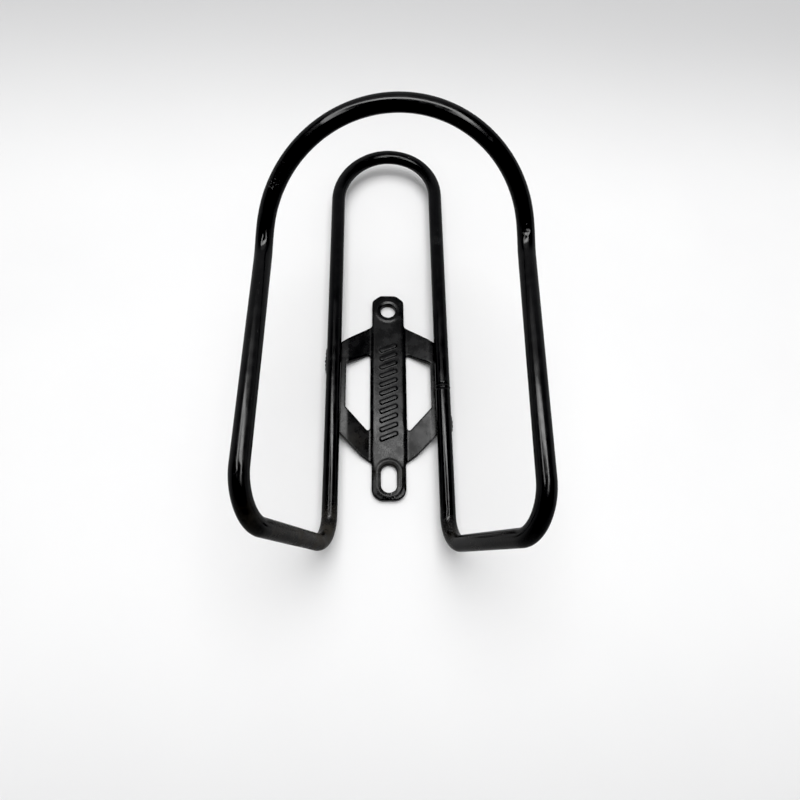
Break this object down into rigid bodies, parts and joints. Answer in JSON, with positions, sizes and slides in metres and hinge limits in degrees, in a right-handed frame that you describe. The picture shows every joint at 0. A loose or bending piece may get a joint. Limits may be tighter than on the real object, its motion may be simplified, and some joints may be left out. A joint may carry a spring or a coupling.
{
  "type": "water bottle cage",
  "caption": "Bent rod cage that holds a drinks bottle on a bicycle frame, with a pressed bracket welded between its rails.",
  "frame": {"origin": "on the flat back of the bracket's strap, midway between the two screw holes", "axes": "+Y towards the mouth that the bottle slides in by, along the line of the two screw holes; +Z away from the bicycle tube, towards the front loop; +X sideways, to the right seen from the front with the mouth up"},
  "size_m": [0.08, 0.1643, 0.0836],
  "materials": {
    "painted_rod": "gloss black paint with light wear",
    "painted_bracket": "gloss black paint",
    "painted_weld": "gloss black paint over a rippled weld"
  },
  "bodies": {
    "root": {"rod_loop": "painted_rod", "mounting_bracket": "painted_bracket", "seam_weld": "painted_weld", "weld_upper_left": "painted_weld", "weld_lower_left": "painted_weld", "weld_upper_right": "painted_weld", "weld_lower_right": "painted_weld"}
  },
  "joints": []
}
